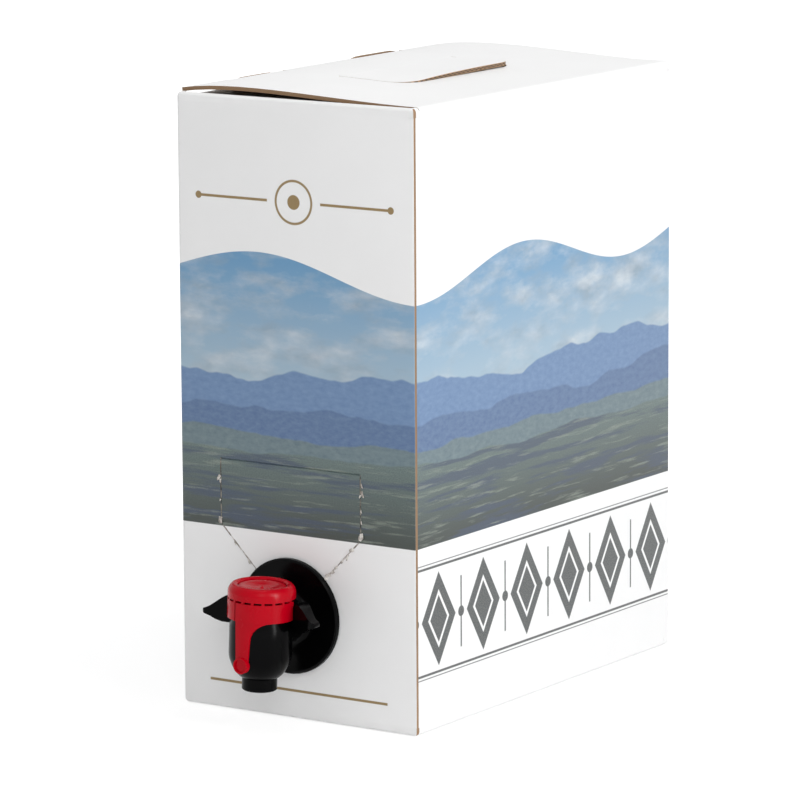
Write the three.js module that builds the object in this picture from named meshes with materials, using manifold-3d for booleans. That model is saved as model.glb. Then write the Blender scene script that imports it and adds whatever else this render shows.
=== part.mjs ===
// A five-litre bag-in-box carton: a folded corrugated box with a lock-tab lid and a
// press-in hand flap, a filled bag inside, and a press tap with a tear-off seal in front.
// Millimetres, Z up. The origin is the middle of the base and the tap faces -Y.
import * as THREE from "three";
import { mergeVertices } from "three/addons/utils/BufferGeometryUtils.js";
import Module from "manifold-3d";

const wasm = await Module();
wasm.setup();

// Driving dimensions of the carton
const width = 116;
const depth = 200;
const height = 255;
const board = 1.6;
const scoreRadius = 0.3;
const clearance = 0.3;
const cornerRadius = 2;
const dustFlapLength = 54;
const dustFlapSlope = THREE.MathUtils.degToRad(80);
const glueFlapWidth = 30;
const bottomGap = 1;
const glueSink = 0.2;
const crush = 0.1;

// Driving dimensions of the lid, its lock tabs and its hand flap
const lidBow = 6;
const lidEndRise = 1.2;
const lidDivisions = 14;
const tabWidth = 40;
const tabSpacing = 88;
const tabLength = 10;
const tabSwing = 0.9;
const handWidth = 84;
const handReach = 33;
const handCorner = 12;
const cutGap = 0.4;

// Driving dimensions of the tear-out panel round the tap
const tapX = -3;
const tapZ = 43.2;
const tapHole = 18.3;
const tearHalfWidth = 34.5;
const tearTop = 105;
const tearBend = 78;
const tearWidth = 0.6;
const tearNib = 2;

// Driving dimensions of the bag
const bagHeadroom = 27;
const bagSquareness = 8;
const bagColumns = 40;
const bagRows = 26;

// Driving dimensions of the tap, from the middle of its flange
const tapLean = THREE.MathUtils.degToRad(2.5);
const tapReach = 21.5;
const flangeRadius = 24;
const flangeThickness = 1.8;
const barrelRadius = 9.5;
const barrelFillet = 4;
const plugRadius = 13.6;
const plugDepth = 12;
const plugChamfer = 1;
const bodyRadius = 12.1;
const bodyWall = 1.7;
const domeTop = -11;
const domeShoulder = 4;
const domeFoot = 1;
const spoutTop = -21.5;
const spoutBottom = -26.6;
const spoutRadius = 7.2;
const spoutWall = 0.9;
const seatRadius = 4.6;
const seatThickness = 1.5;
const capTop = 17.8;
const capWall = 1.5;
const capRounding = 2;
const openingChamfer = 1;
const perforation = 10.4;
const perforationGap = 0.5;
const bridgeCount = 11;
const bridgeWidth = 1.2;
const bridgeSweep = THREE.MathUtils.degToRad(186);
const skirtBottom = 3.7;
const stripWidth = 7;
const stripFillet = 8;
const pullEnd = -16.9;
const pullRadius = 3.9;
const buttonRadius = 9.7;
const buttonDish = 2;
const buttonThickness = 1.2;
const buttonEdge = 1;
const buttonSkirt = 3;
const nubRadius = 0.8;
const nubHeight = 0.5;
const wingTip = 28.5;
const wingTop = 8.6;
const wingFoot = -0.2;
const wingFront = 3.5;
const wingWidth = 8;
const wingTipRadius = 2.2;
const wingTipFlatness = 0.7;
const glandWall = 2.3;
const glandCollar = 20;
const glandFlange = 23;
const stemRib = 5;
const stemWeb = 1.2;
const stemPin = 1.8;
const stemFoot = 3;
const shutterRadius = 5.6;
const shutterThickness = 1.4;
const shutterChamfer = 0.4;

// Sizes that follow from the driving dimensions
const halfWidth = width / 2;
const halfDepth = depth / 2;
const foldedBoard = board - crush;
const foldRadius = scoreRadius + board;
const middleRadius = scoreRadius + board / 2;
const innerFlapTop = height - board - clearance;
const sleeveTop = innerFlapTop - foldRadius;
const lidInset = foldRadius * 2 + clearance * 2;
const flapInset = lidInset + middleRadius / 2;
const bagTop = height - bagHeadroom;
const buttonTop = capTop - openingChamfer;
const stemTop = buttonTop - buttonDish - buttonThickness - clearance;

// How finely round forms are divided, and how far a cutting solid runs past what it cuts
const roundSteps = 48;
const curveSteps = 8;
const arcSteps = 6;
const overrun = 1;
const weldDistance = 1e-4;
const samePoint = 0.01;

// Turns a closed three.js geometry into a solid that can be joined and cut
function solid(geometry) {
  const bare = geometry.clone();
  bare.deleteAttribute("normal");
  bare.deleteAttribute("uv");
  const merged = mergeVertices(bare, weldDistance);
  const corners = [];
  for (let i = 0; i < merged.index.count; i += 3) {
    const [a, b, c] = [0, 1, 2].map((k) => merged.index.getX(i + k));
    if (a !== b && b !== c && c !== a) corners.push(a, b, c);
  }
  const vertProperties = new Float32Array(merged.attributes.position.array);
  const triVerts = new Uint32Array(corners);
  return new wasm.Manifold(new wasm.Mesh({ numProp: 3, vertProperties, triVerts }));
}

function join(pieces) {
  return pieces.reduce((whole, piece) => whole.add(piece));
}

function cut(whole, pieces) {
  return pieces.reduce((rest, piece) => rest.subtract(piece), whole);
}

// A named mesh of one finished solid
function part(name, body, material) {
  const { vertProperties, triVerts } = body.getMesh();
  const geometry = new THREE.BufferGeometry();
  geometry.setAttribute("position", new THREE.BufferAttribute(new Float32Array(vertProperties), 3));
  geometry.setIndex(new THREE.BufferAttribute(new Uint32Array(triVerts), 1));
  geometry.computeVertexNormals();
  const mesh = new THREE.Mesh(geometry, material);
  mesh.name = name;
  return mesh;
}

function block(x0, x1, y0, y1, z0, z1) {
  const geometry = new THREE.BoxGeometry(x1 - x0, y1 - y0, z1 - z0);
  return solid(geometry.translate((x0 + x1) / 2, (y0 + y1) / 2, (z0 + z1) / 2));
}

// Extrusions of an outline in XY along Z, in XZ along Y, and in YZ along X
function alongZ(shape, z0, z1) {
  const geometry = new THREE.ExtrudeGeometry(shape, { depth: z1 - z0, bevelEnabled: false });
  return solid(geometry.translate(0, 0, z0));
}

function alongY(shape, y0, y1) {
  const geometry = new THREE.ExtrudeGeometry(shape, { depth: y1 - y0, bevelEnabled: false });
  return solid(geometry.rotateX(Math.PI / 2).translate(0, y1, 0));
}

function alongX(shape, x0, x1) {
  const geometry = new THREE.ExtrudeGeometry(shape, { depth: x1 - x0, bevelEnabled: false });
  const turn = new THREE.Matrix4().makeBasis(
    new THREE.Vector3(0, 1, 0), new THREE.Vector3(0, 0, 1), new THREE.Vector3(1, 0, 0));
  return solid(geometry.applyMatrix4(turn).translate(x0, 0, 0));
}

// A profile of [radius, level] points spun about Y, or about Z where upright is set
function spun(profile, upright = true) {
  const points = profile.map(([radius, level]) => new THREE.Vector2(radius, level));
  const geometry = new THREE.LatheGeometry(points, roundSteps);
  return solid(upright ? geometry.rotateX(Math.PI / 2) : geometry);
}

// The points of a quarter or other round stretch of a profile
function roundStretch(x, y, radius, from, to, steps = arcSteps) {
  return Array.from({ length: steps + 1 }, (_, i) => {
    const angle = THREE.MathUtils.degToRad(from + (to - from) * i / steps);
    return [x + radius * Math.cos(angle), y + radius * Math.sin(angle)];
  });
}

function outline(points) {
  return new THREE.Shape(points.map(([x, y]) => new THREE.Vector2(x, y)));
}

function roundedRectangle(x0, x1, y0, y1, radii) {
  const [lowLeft, lowRight, highRight, highLeft] = radii;
  return outline([
    ...roundStretch(x0 + lowLeft, y0 + lowLeft, lowLeft, 180, 270),
    ...roundStretch(x1 - lowRight, y0 + lowRight, lowRight, 270, 360),
    ...roundStretch(x1 - highRight, y1 - highRight, highRight, 0, 90),
    ...roundStretch(x0 + highLeft, y1 - highLeft, highLeft, 90, 180),
  ]);
}

// The outline of a bent board, from its middle line
function boardOutline(middleLine, thickness, place = (u, v) => [u, v]) {
  const line = middleLine.filter((point, i) => {
    return i === 0 || Math.hypot(point[0] - middleLine[i - 1][0], point[1] - middleLine[i - 1][1]) > samePoint;
  });
  const side = (offset) => line.map(([u, v], i) => {
    const [u0, v0] = line[Math.max(i - 1, 0)];
    const [u1, v1] = line[Math.min(i + 1, line.length - 1)];
    const length = Math.hypot(u1 - u0, v1 - v0);
    return place(u - offset * (v1 - v0) / length, v + offset * (u1 - u0) / length);
  });
  return outline([...side(thickness / 2), ...side(-thickness / 2).reverse()]);
}

// A dust flap's middle line: u inwards from the wall's face, v up from the fold's crest.
// The flap dives behind the crest and then lies flat under the flaps that cover it.
function dustFlapLine(level) {
  const slope = dustFlapSlope;
  const lean = 90 - THREE.MathUtils.radToDeg(slope);
  const crest = roundStretch(foldRadius, -foldRadius, middleRadius, 180, lean);
  const [u1, v1] = crest[crest.length - 1];
  const v2 = level + middleRadius * (1 - Math.cos(slope));
  const u2 = u1 + (v1 - v2) / Math.tan(slope);
  const foot = roundStretch(u2 + middleRadius * Math.sin(slope), level + middleRadius,
    middleRadius, 180 + lean, 270);
  return [[board / 2, -3 * foldRadius - board * 3], ...crest, ...foot, [dustFlapLength, level]];
}

// A plain right-angled flap's middle line
function flatFlapLine(reach) {
  const wallFoot = [board / 2, -3 * foldRadius];
  return [wallFoot, ...roundStretch(foldRadius, -foldRadius, middleRadius, 180, 90), [reach, -board / 2]];
}

// The four walls, with a sharp raw edge where the front panel covers the glue flap
function sleeve() {
  const inner = cornerRadius - board + crush;
  const radii = [cornerRadius, scoreRadius, cornerRadius, cornerRadius];
  const wall = roundedRectangle(-halfWidth, halfWidth, -halfDepth, halfDepth, radii);
  wall.holes.push(roundedRectangle(-halfWidth + board, halfWidth - board,
    -halfDepth + board, halfDepth - board, [inner, inner, inner, inner]));
  return alongZ(wall, foldRadius + board, sleeveTop);
}

// The glue flap behind the front panel, its ends cut back at an angle
function glueFlap() {
  const right = halfWidth - board / 2;
  const left = halfWidth - board - glueFlapWidth;
  const low = foldRadius * 4 + board;
  const high = sleeveTop - low;
  const taper = glueFlapWidth / 4;
  const shape = outline([[left, low + taper], [right, low], [right, high], [left, high - taper]]);
  return alongY(shape, -halfDepth + board / 2, -halfDepth + board * 2 - glueSink);
}

// The front and back dust flaps at the top or the bottom, with cut-back free corners
function dustFlaps(level, place) {
  const half = halfWidth - cornerRadius;
  const taper = dustFlapLength / 9;
  return [-1, 1].map((end) => {
    const profile = boardOutline(dustFlapLine(level), foldedBoard, (u, v) => [end * (halfDepth - u), place(v)]);
    const plan = outline([
      [-half, end * halfDepth], [half, end * halfDepth],
      [half, end * (halfDepth - flapInset - taper)],
      [half - taper, end * (halfDepth - dustFlapLength)],
      [-half + taper, end * (halfDepth - dustFlapLength)],
      [-half, end * (halfDepth - flapInset - taper)],
    ]);
    return alongX(profile, -half, half).intersect(alongZ(plan, 0, height));
  });
}

// The inner top flap on the left wall, with its finger hole and two slots for the lock tabs
function innerFlap() {
  const reach = width - board - clearance;
  const profile = boardOutline(flatFlapLine(reach), foldedBoard, (u, v) => [u - halfWidth, innerFlapTop + v]);
  const half = halfDepth - flapInset;
  const margin = 2 * board;
  const hole = roundedRectangle(-handReach / 2 - margin, handReach / 2 + margin,
    -handWidth / 2 - board, handWidth / 2 + board, Array(4).fill(handCorner));
  return alongY(profile, -half, half).subtract(alongZ(hole, sleeveTop, height));
}

function tabPlaces() {
  return [-tabSpacing / 2, tabSpacing / 2];
}

// The lock tabs' slots, cut through the fold down to the left wall's raw edge
function tabSlots() {
  const inside = -halfWidth + board;
  const far = inside + board + tabSwing + 2 * clearance;
  return tabPlaces().flatMap((y) => {
    const from = y - tabWidth / 2 - cutGap;
    const to = y + tabWidth / 2 + cutGap;
    return [block(-width, inside, from, to, innerFlapTop - foldRadius / 2, height),
      block(inside, far, from, to, sleeveTop - board, height)];
  });
}

// The bottom: the left wall's flap under the dust flaps, and the right wall's flap under both
function bottomFlaps() {
  const half = halfDepth - flapInset;
  const reach = width - board - bottomGap;
  const low = -crush / 2;
  const left = boardOutline(flatFlapLine(reach), foldedBoard,
    (u, v) => [u - halfWidth, low + board - glueSink - v]);
  const right = boardOutline(flatFlapLine(width - bottomGap), foldedBoard,
    (u, v) => [halfWidth - u, low - v]);
  return [alongY(left, -half, half), alongY(right, -half, half)];
}

// The perforated tear lines, from the crease down and in to the tap's hole, with nibs left
function tearLines() {
  const reach = tearHalfWidth - tapHole * Math.SQRT1_2;
  return [-1, 1].flatMap((side) => {
    const top = new THREE.Vector2(tapX + side * tearHalfWidth, tearTop);
    const bend = new THREE.Vector2(top.x, tearBend);
    const hole = new THREE.Vector2(bend.x - side * reach, tapZ + tapHole * Math.SQRT1_2);
    return [...dashes(top, bend, 3), ...dashes(bend, hole, 4)];
  });
}

function dashes(from, to, count) {
  const along = to.clone().sub(from);
  const step = along.length() / count;
  const length = step - tearNib;
  return Array.from({ length: count }, (_, i) => {
    const middle = from.clone().addScaledVector(along, (i + 0.5) / count);
    const geometry = new THREE.BoxGeometry(length, 3 * board, tearWidth);
    geometry.rotateY(-Math.atan2(along.y, along.x));
    return solid(geometry.translate(middle.x, -halfDepth + board, middle.y));
  });
}

// The shallow crease that the tear-out panel folds up on
function tearCrease() {
  const geometry = new THREE.BoxGeometry(2 * tearHalfWidth, tearWidth, tearWidth);
  geometry.rotateX(Math.PI / 4);
  return solid(geometry.translate(tapX, -halfDepth, tearTop));
}

function cartonBody() {
  const rightWallTop = block(halfWidth - board + crush / 2, halfWidth - crush / 2, -halfDepth + cornerRadius,
    halfDepth - cornerRadius, sleeveTop - board, innerFlapTop);
  const topLevel = -2.5 * board - 2 * clearance;
  const folded = join([
    sleeve(), glueFlap(), rightWallTop, innerFlap(),
    ...dustFlaps(topLevel, (v) => height + v),
    ...dustFlaps(-2.5 * board + 2 * glueSink, (v) => -v - crush / 2),
    ...bottomFlaps(),
  ]);
  const hole = new THREE.Shape().absarc(tapX, tapZ, tapHole, 0, 2 * Math.PI);
  const tapOpening = alongY(hole, -halfDepth - board, -halfDepth + 3 * board);
  return cut(folded, [...tabSlots(), tapOpening, ...tearLines(), tearCrease()]);
}

// The lid's bowed middle line in XZ, from its fold on the right wall to its left edge
function lidCurve() {
  const level = height - board / 2;
  return new THREE.CubicBezierCurve(
    new THREE.Vector2(halfWidth, level),
    new THREE.Vector2(halfWidth / 3, level),
    new THREE.Vector2(-halfWidth / 2, level + lidBow),
    new THREE.Vector2(-halfWidth + clearance, level + lidEndRise));
}

function lidSheet() {
  const line = lidCurve().getPoints(lidDivisions).map((point) => [point.x, point.y]);
  return alongY(boardOutline(line, board), -halfDepth + lidInset, halfDepth - lidInset);
}

// A lock tab, bent down from the lid's left edge into its slot behind the left wall
function lockTab(y) {
  const x = -halfWidth + board * 1.5 + tabSwing;
  const top = lidCurve().getPoint(1).y;
  const bend = roundStretch(x + middleRadius, top - middleRadius, middleRadius, 90, 180);
  const start = [x + middleRadius + board, top];
  const end = [x, top - tabLength - board];
  const profile = boardOutline([start, ...bend, end], foldedBoard);
  const chamfer = tabLength / 2;
  const left = y - tabWidth / 2;
  const right = y + tabWidth / 2;
  const face = outline([[left, height + board * 2], [left, end[1] + chamfer], [left + chamfer, end[1]],
    [right - chamfer, end[1]], [right, end[1] + chamfer], [right, height + board * 2]]);
  return alongY(profile, left, right).intersect(alongX(face, -halfWidth, 0));
}

// The hand flap's outline: straight at its fold and rounded at its free corners
function handOutline(gap) {
  const half = handWidth / 2 + gap;
  const radius = handCorner + gap;
  return roundedRectangle(-handReach / 2 - gap, handReach / 2 + gap, -half, half,
    [clearance, radius, radius, clearance]);
}

function lid() {
  const edge = -halfWidth + board * 1.5 + tabSwing;
  const flap = alongZ(handOutline(cutGap), height - 2 * board, height + 2 * lidBow);
  const recesses = tabPlaces().map((y) => block(-width, edge,
    y - tabWidth / 2, y + tabWidth / 2, height - 2 * board, height + 2 * lidBow));
  return join([cut(lidSheet(), [flap, ...recesses]), ...tabPlaces().map(lockTab)]);
}

function handFlap() {
  return lidSheet().intersect(alongZ(handOutline(0), height - 2 * board, height + 2 * lidBow));
}

// The filled bag: a pillow squared up by the walls round it, with a well for the gland
function bag() {
  const low = 3 * board + clearance;
  const front = -halfDepth + 2 * board + clearance;
  const back = halfDepth - board - clearance;
  const geometry = new THREE.SphereGeometry(1, bagColumns, bagRows);
  const place = geometry.attributes.position;
  const half = [halfWidth - board - clearance, (back - front) / 2, (bagTop - low) / 2];
  const square = new THREE.Vector3();
  for (let i = 0; i < place.count; i += 1) {
    square.fromBufferAttribute(place, i);
    const power = bagSquareness;
    const sum = Math.abs(square.x) ** power + Math.abs(square.y) ** power + Math.abs(square.z) ** power;
    square.multiplyScalar(sum ** (-1 / power));
    place.setXYZ(i, square.x * half[0], square.z * half[1], -square.y * half[2]);
  }
  geometry.translate(0, (front + back) / 2, (low + bagTop) / 2);
  const well = spun([[0, 0], [glandFlange + clearance, 0],
    [glandFlange + clearance, plugDepth + 3 * clearance], [0, plugDepth + 3 * clearance]], false);
  return solid(geometry).subtract(well.translate([tapX, -halfDepth, tapZ]));
}

// The gland welded into the bag's film: a neck with a collar behind the front panel
function gland() {
  const bore = plugRadius + clearance;
  const neck = bore + glandWall;
  const collarFront = 2 * board + clearance;
  const collarBack = collarFront + board;
  const end = plugDepth + 2 * clearance;
  return spun([
    [bore, clearance], [neck - clearance, clearance], [neck, 2 * clearance],
    [neck, collarFront], [glandCollar, collarFront], [glandCollar, collarBack],
    [neck, collarBack], [neck, end - 2 * board], [glandFlange, end - board],
    [glandFlange, end], [bore, end], [bore, clearance],
  ], false);
}

// The tap's outer form: an upright body over a round dome and spout
function tapUpright() {
  const dome = new THREE.CubicBezierCurve(
    new THREE.Vector2(spoutRadius, spoutTop),
    new THREE.Vector2(bodyRadius * 0.85, spoutTop + domeFoot),
    new THREE.Vector2(bodyRadius, domeTop - domeShoulder),
    new THREE.Vector2(bodyRadius, domeTop));
  const dishes = dome.getPoints(curveSteps).map((point) => [point.x, point.y]);
  const top = capTop - capWall - clearance;
  return spun([[0, spoutBottom], [spoutRadius - clearance, spoutBottom],
    [spoutRadius, spoutBottom + clearance], ...dishes, [bodyRadius, top], [0, top]]);
}

// The barrel from the upright body through the flange to the plug that fills the gland
function tapBarrel() {
  const front = -clearance - flangeThickness;
  const lip = flangeThickness / 3;
  return spun([
    [0, -tapReach], [barrelRadius, -tapReach], [barrelRadius, front - barrelFillet],
    ...roundStretch(barrelRadius + barrelFillet, front - barrelFillet, barrelFillet, 180, 90),
    [flangeRadius - 2 * lip, front], [flangeRadius - lip, front - lip], [flangeRadius, front],
    [flangeRadius, -clearance], [plugRadius, -clearance], [plugRadius, plugDepth - plugChamfer],
    [plugRadius - plugChamfer, plugDepth], [0, plugDepth],
  ], false);
}

// A finger wing behind the skirt: its drooping side view cut by its teardrop plan
function wing(side) {
  const tipX = wingTip - wingTipRadius;
  const tipLevel = wingFoot + wingTipRadius;
  const root = barrelRadius - bodyWall;
  const droop = new THREE.QuadraticBezierCurve(
    new THREE.Vector2(bodyRadius * 1.3, wingTop),
    new THREE.Vector2(wingTip - 3 * wingTipRadius, wingTop - wingTipRadius),
    new THREE.Vector2(tipX, tipLevel + wingTipRadius * wingTipFlatness));
  const view = outline([
    [root, wingFoot], [root, wingTop],
    ...droop.getPoints(arcSteps).map((point) => [point.x, point.y]),
    ...roundStretch(tipX, tipLevel, wingTipRadius * wingTipFlatness, 60, -90),
    [bodyRadius * 1.4, wingFoot],
  ].map(([x, z]) => [side * x, z]));
  const near = -tapReach + wingFront;
  const middle = near + wingTipRadius;
  const plan = outline([
    [root, near], ...roundStretch(tipX, middle, wingTipRadius, -90, 75),
    [bodyRadius * 1.2, near + wingWidth], [root, near + wingWidth],
  ].map(([x, y]) => [side * x, y]));
  return alongY(view, near, near + wingWidth).intersect(alongZ(plan, wingFoot - overrun, wingTop + overrun));
}

function tapBody() {
  const axis = [0, -tapReach, 0];
  const chamber = bodyRadius - bodyWall;
  const seatTop = spoutTop + seatThickness;
  const bore = spoutRadius - spoutWall;
  const dome = new THREE.CubicBezierCurve(
    new THREE.Vector2(seatRadius, seatTop),
    new THREE.Vector2(chamber * 0.8, seatTop + domeFoot),
    new THREE.Vector2(chamber, domeTop - domeShoulder),
    new THREE.Vector2(chamber, domeTop));
  const room = spun([
    [0, spoutBottom - overrun], [bore, spoutBottom - overrun], [bore, spoutTop], [seatRadius, spoutTop],
    ...dome.getPoints(arcSteps).map((point) => [point.x, point.y]), [chamber, capTop], [0, capTop],
  ]);
  const duct = spun([[0, -tapReach], [barrelRadius - 2 * bodyWall, -tapReach],
    [barrelRadius - 2 * bodyWall, plugDepth + overrun], [0, plugDepth + overrun]], false);
  const shell = join([tapUpright().translate(axis), tapBarrel(), wing(-1), wing(1)]);
  return cut(shell, [room.translate(axis), duct]);
}

// The red seal: a cap ring, a perforation of small bridges, and the tear-off skirt and strip
function sealCap() {
  const inner = bodyRadius + clearance;
  const outer = inner + capWall;
  const opening = buttonRadius + clearance;
  const ringFoot = perforation + perforationGap / 2;
  const skirtTop = perforation - perforationGap / 2;
  const under = capTop - capWall;
  const ring = spun([
    [inner, ringFoot], [outer, ringFoot],
    ...roundStretch(outer - capRounding, capTop - capRounding, capRounding, 0, 90),
    [opening + openingChamfer, capTop - clearance], [opening, buttonTop], [opening, under],
    [inner, under], [inner, ringFoot],
  ]);
  const bridges = Array.from({ length: bridgeCount }, (_, i) => {
    const geometry = new THREE.BoxGeometry(bridgeWidth, capWall - clearance, 2 * perforationGap);
    geometry.translate(0, -(inner + outer) / 2, perforation);
    return solid(geometry.rotateZ((i / (bridgeCount - 1) - 0.5) * bridgeSweep));
  });
  const skirt = spun([[inner, skirtBottom], [outer, skirtBottom], [outer, skirtTop],
    [inner, skirtTop], [inner, skirtBottom]]);
  const slit = block(-stripWidth / 2 - perforationGap, -stripWidth / 2, -2 * outer, 0,
    skirtBottom - overrun, skirtTop + clearance);
  const behind = block(-2 * outer, 2 * outer, wingFront - clearance, 2 * outer,
    skirtBottom - overrun, perforation + perforationGap / 2);
  const band = cut(skirt, [slit, behind]);
  const cap = join([band, ring, ...bridges, pullStrip(inner, outer)]);
  return cap.translate([0, -tapReach, 0]);
}

// The pull strip: the skirt's shell carried down the front, filleted at its right side,
// to a round end with a raised rim
function pullStrip(inner, outer) {
  const half = stripWidth / 2;
  const shell = spun([[inner, pullEnd], [outer - clearance, pullEnd],
    [outer - clearance, skirtBottom + overrun], [inner, skirtBottom + overrun], [inner, pullEnd]]);
  const front = outline([
    [-half, pullEnd], [half, pullEnd],
    ...roundStretch(half + stripFillet, skirtBottom - stripFillet, stripFillet, 180, 90),
    [half + stripFillet, skirtBottom + overrun], [-half, skirtBottom + overrun],
  ]);
  const strip = shell.intersect(alongY(front, -2 * outer, 0));
  const rim = capWall / 2;
  const face = spun([[0, 0], [pullRadius - rim, 0], [pullRadius - rim, -rim], [pullRadius, -rim],
    [pullRadius, rim * 2], [0, rim * 2]], false);
  return strip.add(face.translate([0, -outer + rim / 2, pullEnd]));
}

// The thumb button: a dished disc with a nub in its middle and a short skirt
function pushButton() {
  const rim = buttonRadius;
  const dish = (level) => new THREE.CubicBezierCurve(
    new THREE.Vector2(rim - buttonEdge, level), new THREE.Vector2(rim * 0.6, level),
    new THREE.Vector2(rim * 0.5, level - buttonDish), new THREE.Vector2(nubRadius, level - buttonDish),
  ).getPoints(curveSteps).map((point) => [point.x, point.y]);
  const under = dish(buttonTop - buttonThickness).reverse();
  return spun([[0, buttonTop - buttonThickness - buttonDish], ...under,
    [rim - buttonEdge, buttonTop - buttonSkirt], [rim, buttonTop - buttonSkirt],
    [rim, buttonTop - clearance], ...dish(buttonTop), [0, buttonTop - buttonDish + nubHeight],
  ]).translate([0, -tapReach, 0]);
}

// The valve stem: a cross of ribs with a head under the button and a pin down to the shutter
function valveStem() {
  const ribFoot = spoutTop + seatThickness + stemFoot;
  const ribs = [[stemRib, stemWeb], [stemWeb, stemRib]].map(([x, y]) => {
    return block(-x / 2, x / 2, -y / 2, y / 2, ribFoot, stemTop - stemWeb / 2);
  });
  const head = spun([[0, stemTop - stemWeb], [stemRib, stemTop - stemWeb], [stemRib, stemTop], [0, stemTop]]);
  const pin = spun([[0, spoutTop], [stemPin, spoutTop], [stemPin, ribFoot + overrun], [0, ribFoot + overrun]]);
  return join([...ribs, head, pin]).translate([0, -tapReach, 0]);
}

// The shutter that closes the spout from below its seat
function valveShutter() {
  const top = spoutTop - clearance;
  const foot = top - shutterThickness;
  return spun([[0, foot], [shutterRadius - shutterChamfer, foot], [shutterRadius, foot + shutterChamfer],
    [shutterRadius, top], [0, top]]).translate([0, -tapReach, 0]);
}

const whiteBoard = new THREE.MeshStandardMaterial({ color: 0xf3f2ef, roughness: 0.45 });
const filmMaterial = new THREE.MeshStandardMaterial({ color: 0xc9ccce, roughness: 0.3 });
const blackPlastic = new THREE.MeshStandardMaterial({ color: 0x0d0d0e, roughness: 0.25 });
const redPlastic = new THREE.MeshStandardMaterial({ color: 0xc00f22, roughness: 0.3 });
const clearPlastic = new THREE.MeshStandardMaterial({ color: 0xe6e8e8, roughness: 0.35 });

const tap = new THREE.Group();
tap.position.set(tapX, -halfDepth, tapZ);
tap.rotation.y = tapLean;
tap.add(
  part("gland", gland(), clearPlastic),
  part("tap_body", tapBody(), blackPlastic),
  part("seal_cap", sealCap(), redPlastic),
  part("push_button", pushButton(), redPlastic),
  part("valve_stem", valveStem(), clearPlastic),
  part("valve_shutter", valveShutter(), clearPlastic),
);

const carton = new THREE.Group();
carton.add(
  part("carton_body", cartonBody(), whiteBoard),
  part("lid", lid(), whiteBoard),
  part("hand_flap", handFlap(), whiteBoard),
  part("bag", bag(), filmMaterial),
  tap,
);

export default carton;
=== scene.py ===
"""A five-litre bag-in-box carton with a press tap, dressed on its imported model."""
import math
import random

import bmesh
import bpy
from mathutils import Matrix, Vector
from mathutils.bvhtree import BVHTree


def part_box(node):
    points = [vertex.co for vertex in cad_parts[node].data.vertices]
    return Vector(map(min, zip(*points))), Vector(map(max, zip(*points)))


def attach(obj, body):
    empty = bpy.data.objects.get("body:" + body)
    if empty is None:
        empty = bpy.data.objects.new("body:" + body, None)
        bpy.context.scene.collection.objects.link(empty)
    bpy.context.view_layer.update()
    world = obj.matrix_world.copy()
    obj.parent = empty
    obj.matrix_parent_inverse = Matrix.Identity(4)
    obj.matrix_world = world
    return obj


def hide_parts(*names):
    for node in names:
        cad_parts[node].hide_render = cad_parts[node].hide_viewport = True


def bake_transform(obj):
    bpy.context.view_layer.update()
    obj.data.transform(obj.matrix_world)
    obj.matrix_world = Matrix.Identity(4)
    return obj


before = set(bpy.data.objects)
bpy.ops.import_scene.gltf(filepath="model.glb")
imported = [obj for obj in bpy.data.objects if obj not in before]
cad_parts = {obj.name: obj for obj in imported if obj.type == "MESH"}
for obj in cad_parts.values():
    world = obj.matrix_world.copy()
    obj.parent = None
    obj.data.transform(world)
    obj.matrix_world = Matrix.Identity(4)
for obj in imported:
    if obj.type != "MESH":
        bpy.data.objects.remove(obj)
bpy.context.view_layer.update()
MM = 0.001

# The camera stands off the box's right front corner, a little above its middle, with
# the long lens that the photograph's near-parallel edges call for.
camera_place = Vector((1.16396, -1.77373, 0.49816))
camera_right = Vector((0.83325522, 0.55285748, -0.00586051))
camera_forward = Vector((-0.5450428, 0.81960546, -0.17656511))
camera_up = camera_right.cross(camera_forward)
lens_data = bpy.data.cameras.new("camera")
lens_data.sensor_width = 36.0
lens_data.lens = 230.1
lens_data.clip_end = 20.0
camera = bpy.data.objects.new("camera", lens_data)
bpy.context.scene.collection.objects.link(camera)
camera.matrix_world = Matrix((
    (camera_right.x, camera_up.x, -camera_forward.x, camera_place.x),
    (camera_right.y, camera_up.y, -camera_forward.y, camera_place.y),
    (camera_right.z, camera_up.z, -camera_forward.z, camera_place.z),
    (0.0, 0.0, 0.0, 1.0)))
bpy.context.scene.camera = camera
bpy.context.scene.view_settings.view_transform = "Standard"


# The studio is a white room. A large soft lamp on the right lights the side panel, a
# weaker one from the front fills the shade, and one overhead lights the lid.
pure_white = (1.0, 1.0, 1.0, 1.0)
room_light = 0.46
box_middle = (0.0, 0.0, 0.12)
box_foot = (0.0, 0.0, 0.0)
tap_middle = (0.0, -0.121, 0.04)


def place(tree, kind, inputs=(), **settings):
    """Adds a node, sets its properties, and fills or links its sockets."""
    made = tree.nodes.new(kind)
    for key, value in settings.items():
        setattr(made, key, value)
    for key, value in dict(inputs).items():
        socket = made.inputs[key]
        if isinstance(value, bpy.types.NodeSocket):
            tree.links.new(value, socket)
        else:
            socket.default_value = value
    return made


def calc(tree, operation, *values):
    """The result of one sum on values or sockets."""
    return place(tree, "ShaderNodeMath", dict(enumerate(values)), operation=operation).outputs[0]


def looked_at(tree):
    """1 for what the camera sees, in gloss or through glass too, and 0 for what only lights."""
    ray = place(tree, "ShaderNodeLightPath").outputs
    by_way = calc(tree, "MAXIMUM", ray["Is Glossy Ray"], ray["Is Transmission Ray"])
    return calc(tree, "MAXIMUM", ray["Is Camera Ray"], by_way)


def lamp(name, position, target, size, power):
    data = bpy.data.lights.new(name, "AREA")
    data.shape = "RECTANGLE"
    data.size, data.size_y = size
    data.energy = power
    made = bpy.data.objects.new(name, data)
    bpy.context.scene.collection.objects.link(made)
    made.location = position
    made.rotation_euler = (Vector(target) - Vector(position)).to_track_quat("-Z", "Y").to_euler()
    return made


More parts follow.
